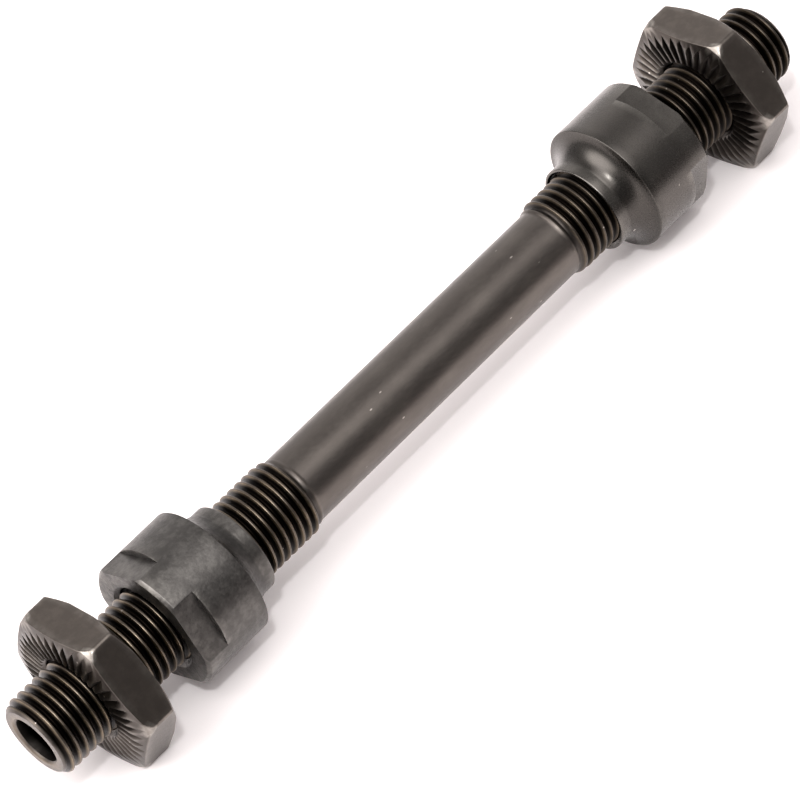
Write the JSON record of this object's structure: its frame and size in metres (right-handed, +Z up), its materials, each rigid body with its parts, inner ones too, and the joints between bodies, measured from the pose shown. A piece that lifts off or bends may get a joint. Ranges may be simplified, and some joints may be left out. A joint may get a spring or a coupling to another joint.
{
  "type": "hub axle",
  "caption": "Hollow threaded hub axle in blackened steel, with bearing cones and toothed hexagonal locknuts run loosely onto its threads.",
  "frame": {"origin": "middle of the axle, on its axis", "axes": "+X along the axle, from the left end, where the locknut's teeth face outwards, to the right end; +Z up, with both locknuts standing on a flat"},
  "size_m": [0.108, 0.019, 0.0166],
  "materials": {
    "axle_black": "oiled black oxide, satin",
    "cone_black": "black oxide, matt to satin",
    "nut_black": "black oxide, satin, corners worn bright"
  },
  "bodies": {
    "axle": {"axle": "axle_black"},
    "left_cone": {"left_cone": "cone_black"},
    "right_cone": {"right_cone": "cone_black"},
    "left_locknut": {"left_locknut": "nut_black"},
    "right_locknut": {"right_locknut": "nut_black"}
  },
  "joints": [
    {"name": "left_cone_run", "type": "slide", "parent": "axle", "child": "left_cone", "axis": [1, 0, 0], "range_m": [-0.0028, 0.0075]},
    {"name": "right_cone_run", "type": "slide", "parent": "axle", "child": "right_cone", "axis": [-1, 0, 0], "range_m": [-0.003, 0.0048]},
    {"name": "left_locknut_run", "type": "slide", "parent": "axle", "child": "left_locknut", "axis": [1, 0, 0], "range_m": [-0.0052, 0.0028]},
    {"name": "right_locknut_run", "type": "slide", "parent": "axle", "child": "right_locknut", "axis": [-1, 0, 0], "range_m": [-0.0056, 0.003]}
  ]
}
